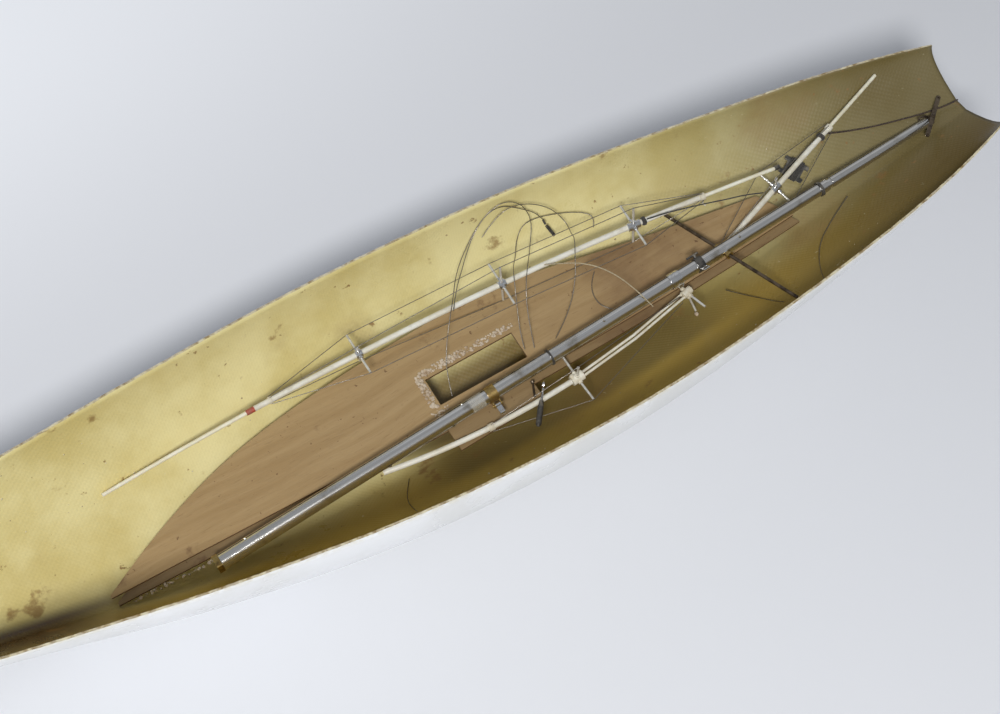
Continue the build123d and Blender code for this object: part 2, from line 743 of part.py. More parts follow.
with BuildPart() as line_hank:
    with BuildSketch(winder_plane.offset(-2.7)):
        RectangleRounded(21, 15, 3)
    extrude(amount=5.4)
    fillet(line_hank.edges().group_by(SortBy.LENGTH)[-1], 1.2)
    with BuildSketch(winder_plane.offset(-0.9)):
        Rectangle(17.6, 16)
    extrude(amount=1.8, mode=Mode.SUBTRACT)
save(line_hank, "line_hank")


# ---------------------------------------------------------------- free wires and cords
# Each one is a tube of straight runs joined by tangent arcs, through a list of corner points.
def corner_radii(points):
    corners = [Vector(*p) for p in points]
    radii = []
    for before, here, after in zip(corners, corners[1:], corners[2:]):
        arrive, leave = here - before, after - here
        turn = math.radians(arrive.get_angle(leave))
        radii.append(0.45 * min(arrive.length, leave.length) / math.tan(turn / 2))
    return radii


def cord_tube(name, points, diameter):
    radii = corner_radii(points)
    with BuildPart() as tube:
        with BuildLine() as route:
            FilletPolyline(*points, radius=radii)
        path = route.wires()[0]
        with BuildSketch(Plane(origin=path @ 0, z_dir=path % 0)):
            Circle(diameter / 2)
        sweep(path=path)
    expected = math.pi * diameter**2 / 4 * path.length
    print(
        f"{name}: length {path.length:.0f} mm, least radius {min(radii):.1f} mm,",
        f"volume against section times length {tube.part.volume / expected:.3f}",
    )
    save(tube, name)


cords = {
    "loose_wire_1": (
        wire_diameter,
        [
            (-81, 6, 62), (-77, 22, 72), (-68, 38, 84), (-56, 52, 101), (-44, 66, 108), (-30, 86, 107),
            (-14, 103, 104), (4, 114, 114), (20, 118, 127), (36, 118, 130), (54, 113, 119), (66, 107, 112),
            (70, 103, 105),
        ],
    ),
    "loose_wire_2": (
        wire_diameter,
        [
            (-49, 57, 104), (-37, 73, 108), (-22, 90, 103), (-8, 104, 107), (7, 114, 119), (24, 117, 132),
            (40, 116, 136), (54, 111, 127), (59, 103, 110), (50, 91, 97), (40, 77, 100), (30, 63, 111),
            (20, 50, 105), (12, 35, 91), (6, 18, 80), (2, 6, 73),
        ],
    ),
    "loose_wire_3": (
        wire_diameter,
        [
            (10, 108, 112), (24, 112, 123), (42, 112.5, 131), (62, 109, 126), (80, 102, 114), (89, 91, 99),
            (84, 77, 103), (78, 63, 117), (70, 49, 113), (62, 35, 99), (50, 22, 88), (34, 10, 80),
            (22, 3, 76),
        ],
    ),
    "loose_wire_4": (
        wire_diameter,
        [
            (111, 81, 90), (117, 88, 95), (106, 97, 99), (85, 104, 102), (66, 108, 104), (52, 108.5, 102),
            (42, 102, 93), (34, 90, 89), (24, 77, 97), (15, 63, 111), (9, 50, 105), (3, 36, 90),
            (-3, 21, 79), (-6, 9, 73),
        ],
    ),
    "loose_wire_5": (
        wire_diameter,
        [(87, 42, 84), (79, 35, 81), (74, 23, 77.5), (76, 10, 75), (86, 2, 74)],
    ),
    "loose_wire_6": (
        wire_diameter,
        [(324, -14, 99), (309, -20, 94), (293, -28, 91), (277, -38, 92), (263, -52, 96), (252, -66, 103),
         (242, -80, 112), (234, -91, 123)],
    ),
    "loose_wire_7": (
        wire_diameter,
        [(186, -24, 64), (192, -36, 68), (197, -49, 75), (200, -62, 84), (201, -74, 94), (201, -82, 103)],
    ),
    "loose_wire_8": (
        wire_diameter,
        [(-141, -20, 12), (-148, -30, 16), (-155, -42, 23), (-158, -55, 32), (-158, -66, 41)],
    ),
    "white_cord": (
        1.0,
        [
            (42, 55, 110), (56, 47, 112), (71, 37, 113), (83, 25, 111), (92, 12, 107), (98, -2, 103),
            (102, -14, 99), (106, -22, 93),
        ],
    ),
    "black_cord": (
        1.2,
        [
            (143, 46, 118), (158, 42, 120.5), (176, 37, 121.5), (196, 32, 121), (216, 27.5, 119),
            (236, 24, 117), (252, 20, 113.5),
        ],
    ),
    "brown_cord": (
        1.4,
        [
            (331, 43, 124), (345, 40, 120.5), (364, 34, 119), (384, 27, 120), (404, 20, 123),
            (421, 13, 127), (436, 8.5, 130), (449, 5, 133), (457, 3.5, 136.5),
        ],
    ),
}
for name, (diameter, points) in cords.items():
    cord_tube(name, points, diameter)

# Crimped end of the first loose wire: two black tubes with a bare stretch between them.
with BuildPart() as wire_crimps:
    bar((70.3, 102.4, 104), (71.5, 100, 100), 1.0)
    bar((72, 99, 98.5), (76, 91.5, 90), 1.5)
save(wire_crimps, "wire_crimps")
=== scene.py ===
import math
import random
import bmesh
import bpy
from mathutils import Matrix, Vector, noise
from mathutils.bvhtree import BVHTree


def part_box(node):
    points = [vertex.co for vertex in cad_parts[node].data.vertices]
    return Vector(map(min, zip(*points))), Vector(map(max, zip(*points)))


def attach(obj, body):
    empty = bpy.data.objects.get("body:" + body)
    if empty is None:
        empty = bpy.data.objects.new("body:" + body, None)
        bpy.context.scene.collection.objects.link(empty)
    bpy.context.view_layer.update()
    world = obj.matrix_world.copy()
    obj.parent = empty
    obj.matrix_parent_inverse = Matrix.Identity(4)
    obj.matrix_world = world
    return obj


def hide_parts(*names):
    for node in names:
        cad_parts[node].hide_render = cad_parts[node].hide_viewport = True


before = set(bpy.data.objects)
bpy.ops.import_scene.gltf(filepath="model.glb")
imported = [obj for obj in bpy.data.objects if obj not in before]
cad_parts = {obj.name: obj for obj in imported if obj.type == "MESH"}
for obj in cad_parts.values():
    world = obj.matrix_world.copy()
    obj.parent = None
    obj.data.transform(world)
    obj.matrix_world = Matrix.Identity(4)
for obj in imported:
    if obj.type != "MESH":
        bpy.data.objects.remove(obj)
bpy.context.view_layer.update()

print("frame loaded:", len(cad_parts), "CAD nodes")

midLength = 175.0  # mm from the drawing's origin to the middle of the hull
chance = random.Random(7)


# Point of the drawing, in mm, as a point of the scene, in metres.
def spot(x, y, z):
    return Vector(((x + midLength) / 1000, y / 1000, z / 1000))


# ---- camera, lights and floor

view = {
    "place": spot(-461.5, -701.6, 1288.8),
    "right": (0.8554, -0.5180, 0.0),
    "up": (0.4269, 0.7049, 0.5664),
    "back": (-0.2934, -0.4845, 0.8241),
    "lens": 61.2,
    "sensor": 36.0,
}


def placeCamera():
    data = bpy.data.cameras.new("viewCamera")
    data.lens = view["lens"]
    data.sensor_width = view["sensor"]
    data.clip_start = 0.05
    turn = Matrix((view["right"], view["up"], view["back"])).transposed()
    camera = bpy.data.objects.new("viewCamera", data)
    camera.matrix_world = Matrix.Translation(view["place"]) @ turn.to_4x4()
    bpy.context.collection.objects.link(camera)
    bpy.context.scene.camera = camera


placeCamera()
bpy.context.scene.view_settings.view_transform = "Standard"
print("camera placed")

lighting = {
    "keyPlace": (-0.95, -1.60, 2.15),
    "keySize": 0.5,
    "keyWatts": 56.0,
    "fillPlace": (0.9, 1.4, 1.9),
    "fillSize": 2.0,
    "fillWatts": 1.5,
    "skyColour": (0.90, 0.94, 1.0, 1.0),
    "skyStrength": 0.33,
    "floorSize": 7.0,
    # backdropRun and backdropGlow paint light onto the floor: a lighter back and a painted glow.
    "backdropRun": (0.15, 0.75),
    "backdropGlow": 0.22,
}


def areaLight(name, place, size, watts):
    data = bpy.data.lights.new(name, "AREA")
    data.shape = "DISK"
    data.size = size
    data.energy = watts
    lamp = bpy.data.objects.new(name, data)
    lamp.location = place
    lamp.rotation_euler = (-Vector(place)).to_track_quat("-Z", "Y").to_euler()
    bpy.context.collection.objects.link(lamp)


areaLight("keyLight", lighting["keyPlace"], lighting["keySize"], lighting["keyWatts"])
areaLight("fillLight", lighting["fillPlace"], lighting["fillSize"], lighting["fillWatts"])
sky = bpy.data.worlds.new("studioSky")
sky.use_nodes = True
sky.node_tree.nodes["Background"].inputs["Color"].default_value = lighting["skyColour"]
sky.node_tree.nodes["Background"].inputs["Strength"].default_value = lighting["skyStrength"]
bpy.context.scene.world = sky


# ---- node helpers and shared shader groups

def addNode(tree, kind, inputs=None, **settings):
    made = tree.nodes.new(kind)
    for key, value in settings.items():
        setattr(made, key, value)
    for key, value in (inputs or {}).items():
        if isinstance(value, bpy.types.NodeSocket):
            tree.links.new(value, made.inputs[key])
        else:
            made.inputs[key].default_value = value
    return made


def mathNode(tree, operation, first, second=0.0):
    return addNode(tree, "ShaderNodeMath", {0: first, 1: second}, operation=operation).outputs[0]


def smoothRamp(tree, value, low, high):
    inputs = {"Value": value, "From Min": low, "From Max": high}
    return addNode(tree, "ShaderNodeMapRange", inputs, interpolation_type="SMOOTHSTEP").outputs[0]


def mixColour(tree, share, first, second, blend="MIX"):
    made = addNode(tree, "ShaderNodeMix", data_type="RGBA", blend_type=blend)
    for index, value in ((0, share), (6, first), (7, second)):
        if isinstance(value, bpy.types.NodeSocket):
            tree.links.new(value, made.inputs[index])
        else:
            made.inputs[index].default_value = value
    return made.outputs[2]


def startGroup(name, inputs, outputs):
    tree = bpy.data.node_groups.new(name, "ShaderNodeTree")
    for label, kind, value in inputs:
        socket = tree.interface.new_socket(label, in_out="INPUT", socket_type="NodeSocket" + kind)
        socket.default_value = value
    for label, kind in outputs:
        tree.interface.new_socket(label, in_out="OUTPUT", socket_type="NodeSocket" + kind)
    return tree, tree.nodes.new("NodeGroupInput").outputs, tree.nodes.new("NodeGroupOutput").inputs


def useGroup(tree, group, **inputs):
    made = addNode(tree, "ShaderNodeGroup", node_tree=group)
    for key, value in inputs.items():
        if isinstance(value, bpy.types.NodeSocket):
            tree.links.new(value, made.inputs[key])
        else:
            made.inputs[key].default_value = value
    return made.outputs


def rgb(red, green, blue):
    return (red, green, blue, 1.0)


# Soft patches: two colours mixed by noise, with the mask.
def buildMottle():
    tree, given, result = startGroup(
        "mottle",
        [("Vector", "Vector", (0, 0, 0)), ("Scale", "Float", 10.0), ("Low", "Float", 0.4),
         ("High", "Float", 0.6), ("First", "Color", rgb(1, 1, 1)), ("Second", "Color", rgb(0, 0, 0))],
        [("Colour", "Color"), ("Mask", "Float")],
    )
    cloud = addNode(tree, "ShaderNodeTexNoise",
                    {"Vector": given["Vector"], "Scale": given["Scale"], "Detail": 6.0, "Roughness": 0.6})
    mask = smoothRamp(tree, cloud.outputs["Fac"], given["Low"], given["High"])
    tree.links.new(mixColour(tree, mask, given["First"], given["Second"]), result["Colour"])
    tree.links.new(mask, result["Mask"])
    return tree


# Plain weave: raised cells that alternate over and under, from two lengths measured in metres.
def buildWeave():
    tree, given, result = startGroup(
        "weave",
        [("Along", "Float", 0.0), ("Across", "Float", 0.0), ("Pitch", "Float", 0.004)],
        [("Height", "Float"), ("Gap", "Float")],
    )
    waves = []
    for side in ("Along", "Across"):
        turns = mathNode(tree, "DIVIDE", given[side], given["Pitch"])
        waves.append(mathNode(tree, "SINE", mathNode(tree, "MULTIPLY", turns, math.tau)))
    cells = mathNode(tree, "MULTIPLY", *waves)
    tree.links.new(mathNode(tree, "MULTIPLY_ADD", cells, 0.5), result["Height"])
    gaps = mathNode(tree, "ABSOLUTE", cells)
    tree.links.new(smoothRamp(tree, gaps, 0.35, 0.0), result["Gap"])
    return tree


# Worn edges: a mask where the surface turns sharply, broken up by noise.
def buildEdgeWear():
    tree, given, result = startGroup(
        "edgeWear",
        [("Amount", "Float", 0.5), ("Scale", "Float", 200.0)],
        [("Mask", "Float")],
    )
    place = addNode(tree, "ShaderNodeTexCoord").outputs["Object"]
    grit = addNode(tree, "ShaderNodeTexNoise", {"Vector": place, "Scale": given["Scale"], "Detail": 4.0})
    sharp = smoothRamp(tree, addNode(tree, "ShaderNodeNewGeometry").outputs["Pointiness"], 0.505, 0.58)
    broken = mathNode(tree, "MULTIPLY", sharp, smoothRamp(tree, grit.outputs["Fac"], 0.35, 0.6))
    tree.links.new(mathNode(tree, "MULTIPLY", broken, given["Amount"]), result["Mask"])
    return tree


# Dust on faces that look up.
def buildDust():
    tree, given, result = startGroup(
        "dust",
        [("Amount", "Float", 0.3), ("Scale", "Float", 120.0)],
        [("Mask", "Float")],
    )
    place = addNode(tree, "ShaderNodeTexCoord").outputs["Object"]
    normal = addNode(tree, "ShaderNodeNewGeometry").outputs["Normal"]
    lift = addNode(tree, "ShaderNodeSeparateXYZ", {0: normal}).outputs["Z"]
    specks = addNode(tree, "ShaderNodeTexNoise", {"Vector": place, "Scale": given["Scale"], "Detail": 8.0})
    share = mathNode(tree, "MULTIPLY", smoothRamp(tree, lift, 0.2, 0.9),
                     smoothRamp(tree, specks.outputs["Fac"], 0.5, 0.66))
    tree.links.new(mathNode(tree, "MULTIPLY", share, given["Amount"]), result["Mask"])
    return tree


# Streaks drawn out along one direction, for wood grain and brushed metal.
def buildStreaks():
    tree, given, result = startGroup(
        "streaks",
        [("Vector", "Vector", (0, 0, 0)), ("Stretch", "Vector", (4, 120, 120)), ("Low", "Float", 0.35),
         ("High", "Float", 0.65), ("First", "Color", rgb(1, 1, 1)), ("Second", "Color", rgb(0, 0, 0))],
        [("Colour", "Color"), ("Mask", "Float")],
    )
    drawn = addNode(tree, "ShaderNodeVectorMath", {0: given["Vector"], 1: given["Stretch"]},
                    operation="MULTIPLY").outputs[0]
    lines = addNode(tree, "ShaderNodeTexNoise",
                    {"Vector": drawn, "Scale": 1.0, "Detail": 8.0, "Roughness": 0.65, "Distortion": 0.4})
    mask = smoothRamp(tree, lines.outputs["Fac"], given["Low"], given["High"])
    tree.links.new(mixColour(tree, mask, given["First"], given["Second"]), result["Colour"])
    tree.links.new(mask, result["Mask"])
    return tree


mottle = buildMottle()
weave = buildWeave()
edgeWear = buildEdgeWear()
dust = buildDust()
streaks = buildStreaks()
print("shader groups built")


# ---- materials

def startMaterial(name, **shaderInputs):
    made = bpy.data.materials.new(name)
    made.use_nodes = True
    shader = made.node_tree.nodes["Principled BSDF"]
    for key, value in shaderInputs.items():
        shader.inputs[key.replace("_", " ")].default_value = value
    return made, made.node_tree, shader


def objectPlace(tree):
    return addNode(tree, "ShaderNodeTexCoord").outputs["Object"]


def bumpFrom(tree, shader, height, strength, distance):
    made = addNode(tree, "ShaderNodeBump", {"Height": height, "Strength": strength, "Distance": distance})
    tree.links.new(made.outputs["Normal"], shader.inputs["Normal"])


# A plain finish with patches, worn edges, dust and a fine surface.
def finishOf(name, look, **shaderInputs):
    made, tree, shader = startMaterial(name, **shaderInputs)
    place = objectPlace(tree)
    patches = useGroup(tree, mottle, Vector=place, Scale=look["scale"], First=rgb(*look["base"]),
                       Second=rgb(*look["second"]))
    worn = useGroup(tree, edgeWear, Amount=look.get("wear", 0.4))["Mask"]
    dusty = useGroup(tree, dust, Amount=look.get("dust", 0.15))["Mask"]
    colour = mixColour(tree, worn, patches["Colour"], rgb(*look["worn"]))
    colour = mixColour(tree, dusty, colour, rgb(0.42, 0.37, 0.28))
    tree.links.new(colour, shader.inputs["Base Color"])
    low, high = look["rough"]
    spread = addNode(tree, "ShaderNodeMapRange", {"Value": patches["Mask"], "To Min": low, "To Max": high})
    tree.links.new(spread.outputs[0], shader.inputs["Roughness"])
    fine = addNode(tree, "ShaderNodeTexNoise",
                   {"Vector": place, "Scale": look.get("fine", 900.0), "Detail": 3.0})
    bumpFrom(tree, shader, fine.outputs["Fac"], look.get("bump", 0.15), 0.0004)
    return made


# Metal drawn or brushed along the mast.
def drawnMetal(name, look, **shaderInputs):
    made, tree, shader = startMaterial(name, Metallic=1.0, **shaderInputs)
    place = objectPlace(tree)
    along = addNode(tree, "ShaderNodeVectorRotate",
                    {"Vector": place, "Rotation": look["turn"]}, rotation_type="EULER_XYZ").outputs[0]
    lines = useGroup(tree, streaks, Vector=along, Stretch=look["stretch"], First=rgb(*look["base"]),
                     Second=rgb(*look["second"]))
    stains = useGroup(tree, mottle, Vector=place, Scale=look["stainScale"], Low=0.55, High=0.72)["Mask"]
    colour = mixColour(tree, mathNode(tree, "MULTIPLY", stains, look["stain"]), lines["Colour"],
                       rgb(*look["stainColour"]))
    tree.links.new(colour, shader.inputs["Base Color"])
    low, high = look["rough"]
    spread = addNode(tree, "ShaderNodeMapRange", {"Value": lines["Mask"], "To Min": low, "To Max": high})
    tree.links.new(spread.outputs[0], shader.inputs["Roughness"])
    bumpFrom(tree, shader, lines["Mask"], 0.12, 0.0003)
    return made


resinLook = {
    "light": (0.84, 0.75, 0.38),
    "deep": (0.68, 0.57, 0.23),
    # shadeSide: painted shade on the near side of the inside
    "shadeSide": (0.47, 0.32, 0.070),
    # crease: painted shade in the keel crease towards the bow
    "crease": (0.085, 0.045, 0.014),
    # stern: darker stern, partly the laminate's own tone, partly painted shade
    "stern": (0.082, 0.054, 0.012),
    "stain": (0.26, 0.14, 0.045),
    # underDeckShade: painted shade under the deck panels
    "underDeckShade": (0.23, 0.165, 0.05),
    "nearRun": (0.012, -0.05),
    "bowRun": (-0.17, -0.29),
    "creaseFar": (0.012, 0.0),
    "creaseNear": (-0.085, -0.03),
    "deckStart": (0.02, 0.09),
    "deckEnd": (0.40, 0.30),
    "deckHalf": (0.065, 0.045),
    "sternRun": (0.24, 0.60),
    "sternShare": 0.88,
    "spots": ((26.0, 0.63, 0.71, 0.75), (7.0, 0.58, 0.78, 0.45), (95.0, 0.66, 0.72, 0.85)),
    "pitch": 0.0047,
    "weaveBump": 0.2,
}


def buildResin():
    made, tree, shader = startMaterial("hullLaminate", IOR=1.5, Coat_Weight=0.18, Coat_Roughness=0.3)
    girth = addNode(tree, "ShaderNodeSeparateXYZ",
                    {0: addNode(tree, "ShaderNodeUVMap", uv_map="girth").outputs[0]}).outputs
    place = objectPlace(tree)
    cloth = useGroup(tree, weave, Along=girth["X"], Across=girth["Y"], Pitch=resinLook["pitch"])
    colour = useGroup(tree, mottle, Vector=place, Scale=9.0, Low=0.38, High=0.68,
                      First=rgb(*resinLook["light"]), Second=rgb(*resinLook["deep"]))["Colour"]
    # Painted shade: the near side of the inside is coloured darker, where the near gunwale keeps the key light off.
    nearShade = smoothRamp(tree, girth["Y"], *resinLook["nearRun"])
    colour = mixColour(tree, nearShade, colour, rgb(*resinLook["shadeSide"]))
    # Painted shade: the keel crease is coloured dark towards the bow.
    bowward = smoothRamp(tree, girth["X"], *resinLook["bowRun"])
    keelCreaseShade = mathNode(tree, "MULTIPLY", smoothRamp(tree, girth["Y"], *resinLook["creaseFar"]),
                        smoothRamp(tree, girth["Y"], *resinLook["creaseNear"]))
    colour = mixColour(tree, mathNode(tree, "MULTIPLY", keelCreaseShade, bowward), colour, rgb(*resinLook["crease"]))
    # Painted shade: the inside under the deck panels is coloured darker, where the panels shade it.
    deckShadow = mathNode(tree, "MULTIPLY", smoothRamp(tree, girth["X"], *resinLook["deckStart"]),
                       smoothRamp(tree, girth["X"], *resinLook["deckEnd"]))
    offKeel = mathNode(tree, "ABSOLUTE", girth["Y"])
    deckShadow = mathNode(tree, "MULTIPLY", deckShadow, smoothRamp(tree, offKeel, *resinLook["deckHalf"]))
    colour = mixColour(tree, deckShadow, colour, rgb(*resinLook["underDeckShade"]))
    # Darker towards the stern: partly the laminate's own darker tone there, partly painted shade.
    sternTintAndShade = smoothRamp(tree, girth["X"], *resinLook["sternRun"])
    sternTintAndShade = mathNode(tree, "MULTIPLY", sternTintAndShade, resinLook["sternShare"])
    colour = mixColour(tree, sternTintAndShade, colour, rgb(*resinLook["stern"]))
    for scale, low, high, share in resinLook["spots"]:
        spots = useGroup(tree, mottle, Vector=place, Scale=scale, Low=low, High=high)["Mask"]
        colour = mixColour(tree, mathNode(tree, "MULTIPLY", spots, share), colour, rgb(*resinLook["stain"]))
    pale = useGroup(tree, mottle, Vector=place, Scale=160.0, Low=0.68, High=0.74)["Mask"]
    colour = mixColour(tree, mathNode(tree, "MULTIPLY", pale, 0.5), colour, rgb(0.80, 0.74, 0.50))
    threads = mixColour(tree, mathNode(tree, "MULTIPLY", cloth["Gap"], 0.06), colour, rgb(0.40, 0.30, 0.10))
    tree.links.new(threads, shader.inputs["Base Color"])
    wet = useGroup(tree, mottle, Vector=place, Scale=14.0, Low=0.3, High=0.7)["Mask"]
    spread = addNode(tree, "ShaderNodeMapRange", {"Value": wet, "To Min": 0.26, "To Max": 0.44})
    tree.links.new(spread.outputs[0], shader.inputs["Roughness"])
    lumps = addNode(tree, "ShaderNodeTexNoise",
                    {"Vector": place, "Scale": 60.0, "Detail": 5.0}).outputs["Fac"]
    height = mathNode(tree, "ADD", cloth["Height"], mathNode(tree, "MULTIPLY", lumps, 1.4))
    bumpFrom(tree, shader, height, resinLook["weaveBump"], 0.0006)
    return made


def buildGelCoat():
    return finishOf(
        "hullGelCoat",
        {"base": (0.84, 0.85, 0.86), "second": (0.74, 0.74, 0.72), "worn": (0.62, 0.55, 0.38), "scale": 6.0,
         "rough": (0.16, 0.34), "dust": 0.1, "fine": 300.0, "bump": 0.05},
        IOR=1.5,
        Coat_Weight=0.3,
    )


plyLook = {
    "early": (0.405, 0.282, 0.140),
    "late": (0.335, 0.222, 0.102),
    "stain": (0.12, 0.055, 0.028),
    # edge: the sawn edge's own darker tone plus painted shade in the gap along the panel edges
    "edge": (0.20, 0.115, 0.055),
    "spots": ((6.0, 0.54, 0.76, 0.55), (34.0, 0.61, 0.72, 0.6), (150.0, 0.65, 0.70, 0.75)),
}


# shade scales all the ply's colours down; below 1 it makes a painted-shade copy of the same ply.
def buildPly(name, shade):
    made, tree, shader = startMaterial(name, IOR=1.45, Specular_IOR_Level=0.35)
    place = objectPlace(tree)
    bent = addNode(tree, "ShaderNodeTexNoise", {"Vector": place, "Scale": 5.0, "Detail": 2.0})
    shifted = addNode(tree, "ShaderNodeVectorMath",
                      {0: place, 1: addNode(tree, "ShaderNodeVectorMath",
                                            {0: bent.outputs["Color"], 1: (0.0, 0.022, 0.0)},
                                            operation="MULTIPLY").outputs[0]}, operation="ADD").outputs[0]
    wide = useGroup(tree, streaks, Vector=shifted, Stretch=(5, 110, 60), Low=0.3, High=0.7,
                    First=rgb(*[c * shade for c in plyLook["early"]]),
                    Second=rgb(*[c * shade for c in plyLook["late"]]))
    pores = useGroup(tree, streaks, Vector=shifted, Stretch=(60, 1500, 600), Low=0.56, High=0.70)
    colour = mixColour(tree, mathNode(tree, "MULTIPLY", pores["Mask"], 0.45), wide["Colour"],
                       rgb(0.17 * shade, 0.095 * shade, 0.045 * shade))
    for scale, low, high, share in plyLook["spots"]:
        spots = useGroup(tree, mottle, Vector=place, Scale=scale, Low=low, High=high)["Mask"]
        colour = mixColour(tree, mathNode(tree, "MULTIPLY", spots, share), colour, rgb(*plyLook["stain"]))
    # Faces that don't look up take the edge colour: partly the sawn edge's own tone, partly painted shade in the
    # gap along the panel edges.
    facing = addNode(tree, "ShaderNodeSeparateXYZ",
                     {0: addNode(tree, "ShaderNodeNewGeometry").outputs["True Normal"]}).outputs["Z"]
    sawnEdgeAndShade = smoothRamp(tree, mathNode(tree, "ABSOLUTE", facing), 0.75, 0.45)
    colour = mixColour(tree, sawnEdgeAndShade, colour, rgb(*plyLook["edge"]))
    tree.links.new(colour, shader.inputs["Base Color"])
    spread = addNode(tree, "ShaderNodeMapRange", {"Value": pores["Mask"], "To Min": 0.48, "To Max": 0.72})
    tree.links.new(spread.outputs[0], shader.inputs["Roughness"])
    bumpFrom(tree, shader, mathNode(tree, "SUBTRACT", wide["Mask"], pores["Mask"]), 0.22, 0.0005)
    return made


mastTurn = (0.0, 0.1087, -0.0391)  # brings the mast's own line onto X
materials = {
    "resin": buildResin(),
    "gelCoat": buildGelCoat(),
    "ply": buildPly("deckPly", 1.0),
    # Painted shade: the same ply darkened to 0.72 for the lower panel and the hatch cover, which lie lower in the
    # hull.
    "plyShaded": buildPly("deckPlyShaded", 0.72),
    "aluminium": drawnMetal(
        "mastAluminium",
        {"turn": mastTurn, "stretch": (6, 900, 900), "base": (0.80, 0.79, 0.77), "second": (0.64, 0.62, 0.58),
         "stainScale": 40.0, "stain": 0.6, "stainColour": (0.30, 0.25, 0.17), "rough": (0.15, 0.28)},
    ),
    "brass": drawnMetal(
        "agedBrass",
        {"turn": mastTurn, "stretch": (300, 300, 300), "base": (0.52, 0.38, 0.14), "second": (0.30, 0.20, 0.08),
         "stainScale": 180.0, "stain": 0.8, "stainColour": (0.10, 0.07, 0.035), "rough": (0.30, 0.55)},
    ),
    "steel": drawnMetal(
        "polishedSteel",
        {"turn": mastTurn, "stretch": (500, 500, 500), "base": (0.78, 0.78, 0.78), "second": (0.60, 0.60, 0.60),
         "stainScale": 150.0, "stain": 0.4, "stainColour": (0.32, 0.28, 0.22), "rough": (0.14, 0.30)},
    ),
    "darkSteel": finishOf(
        "blackenedSteel",
        {"base": (0.085, 0.062, 0.040), "second": (0.040, 0.028, 0.020), "worn": (0.26, 0.20, 0.14),
         "scale": 140.0, "rough": (0.32, 0.55), "dust": 0.2, "bump": 0.3},
        Metallic=0.7,
    ),
    "wire": drawnMetal(
        "strandedWire",
        {"turn": (0.6, 0.4, 0.7), "stretch": (2400, 2400, 2400), "base": (0.40, 0.37, 0.33),
         "second": (0.16, 0.14, 0.12), "stainScale": 60.0, "stain": 0.5, "stainColour": (0.14, 0.09, 0.05),
         "rough": (0.28, 0.5)},
    ),
    "whiteSpar": finishOf(
        "whiteSpar",
        {"base": (0.86, 0.83, 0.73), "second": (0.76, 0.71, 0.58), "worn": (0.60, 0.52, 0.38), "scale": 30.0,
         "rough": (0.24, 0.42), "dust": 0.2, "fine": 500.0, "bump": 0.08},
        Subsurface_Weight=0.06,
    ),
    "creamRod": finishOf(
        "creamRod",
        {"base": (0.88, 0.84, 0.70), "second": (0.78, 0.72, 0.54), "worn": (0.64, 0.56, 0.40), "scale": 45.0,
         "rough": (0.28, 0.46), "dust": 0.15, "fine": 500.0, "bump": 0.08},
        Subsurface_Weight=0.06,
    ),
    "whitePlastic": finishOf(
        "whitePlastic",
        {"base": (0.84, 0.81, 0.70), "second": (0.66, 0.60, 0.46), "worn": (0.55, 0.48, 0.34), "scale": 90.0,
         "rough": (0.34, 0.5), "dust": 0.25, "bump": 0.15},
    ),
    "blackPlastic": finishOf(
        "blackPlastic",
        {"base": (0.022, 0.021, 0.020), "second": (0.045, 0.042, 0.038), "worn": (0.16, 0.15, 0.13),
         "scale": 120.0, "rough": (0.28, 0.46), "dust": 0.3, "bump": 0.2},
    ),
    "clearArm": finishOf(
        "smokyArm",
        {"base": (0.70, 0.69, 0.64), "second": (0.52, 0.50, 0.44), "worn": (0.82, 0.82, 0.80), "scale": 160.0,
         "rough": (0.12, 0.25), "dust": 0.1, "bump": 0.05},
        Metallic=0.35,
        Coat_Weight=0.4,
    ),
    "clearTape": finishOf(
        "clearTape",
        {"base": (0.62, 0.58, 0.47), "second": (0.72, 0.69, 0.60), "worn": (0.80, 0.78, 0.70), "scale": 80.0,
         "rough": (0.10, 0.22), "dust": 0.1, "bump": 0.25},
        Alpha=0.16,
        Coat_Weight=0.5,
    ),
    "redTape": finishOf(
        "redTape",
        {"base": (0.42, 0.055, 0.025), "second": (0.22, 0.030, 0.018), "worn": (0.50, 0.20, 0.14), "scale": 200.0,
         "rough": (0.45, 0.7), "dust": 0.3, "bump": 0.3},
    ),
    "sealant": finishOf(
        "oldSealant",
        {"base": (0.58, 0.48, 0.36), "second": (0.38, 0.27, 0.17), "worn": (0.66, 0.58, 0.47), "scale": 110.0,
         "rough": (0.6, 0.85), "dust": 0.1, "fine": 1500.0, "bump": 0.5},
    ),
}


# Braided or waxed line: short slanting strands.
def buildLine(name, base, second):
    made, tree, shader = startMaterial(name, Sheen_Weight=0.15)
    place = objectPlace(tree)
    braid = addNode(tree, "ShaderNodeTexWave",
                    {"Vector": place, "Scale": 420.0, "Distortion": 1.5, "Detail": 2.0},
                    bands_direction="DIAGONAL").outputs["Fac"]
    fuzz = useGroup(tree, mottle, Vector=place, Scale=700.0, First=rgb(*base), Second=rgb(*second))
    tree.links.new(mixColour(tree, mathNode(tree, "MULTIPLY", braid, 0.4), fuzz["Colour"], rgb(*second)),
                   shader.inputs["Base Color"])
    spread = addNode(tree, "ShaderNodeMapRange", {"Value": fuzz["Mask"], "To Min": 0.55, "To Max": 0.85})
    tree.links.new(spread.outputs[0], shader.inputs["Roughness"])
    bumpFrom(tree, shader, braid, 0.6, 0.0004)
    return made


materials["blackLine"] = buildLine("blackLine", (0.020, 0.019, 0.018), (0.075, 0.068, 0.060))
materials["brownLine"] = buildLine("brownLine", (0.085, 0.048, 0.030), (0.030, 0.018, 0.013))
materials["whiteLine"] = buildLine("whiteLine", (0.52, 0.45, 0.30), (0.38, 0.31, 0.19))
print("materials built:", len(materials))


# ---- free wires and cords

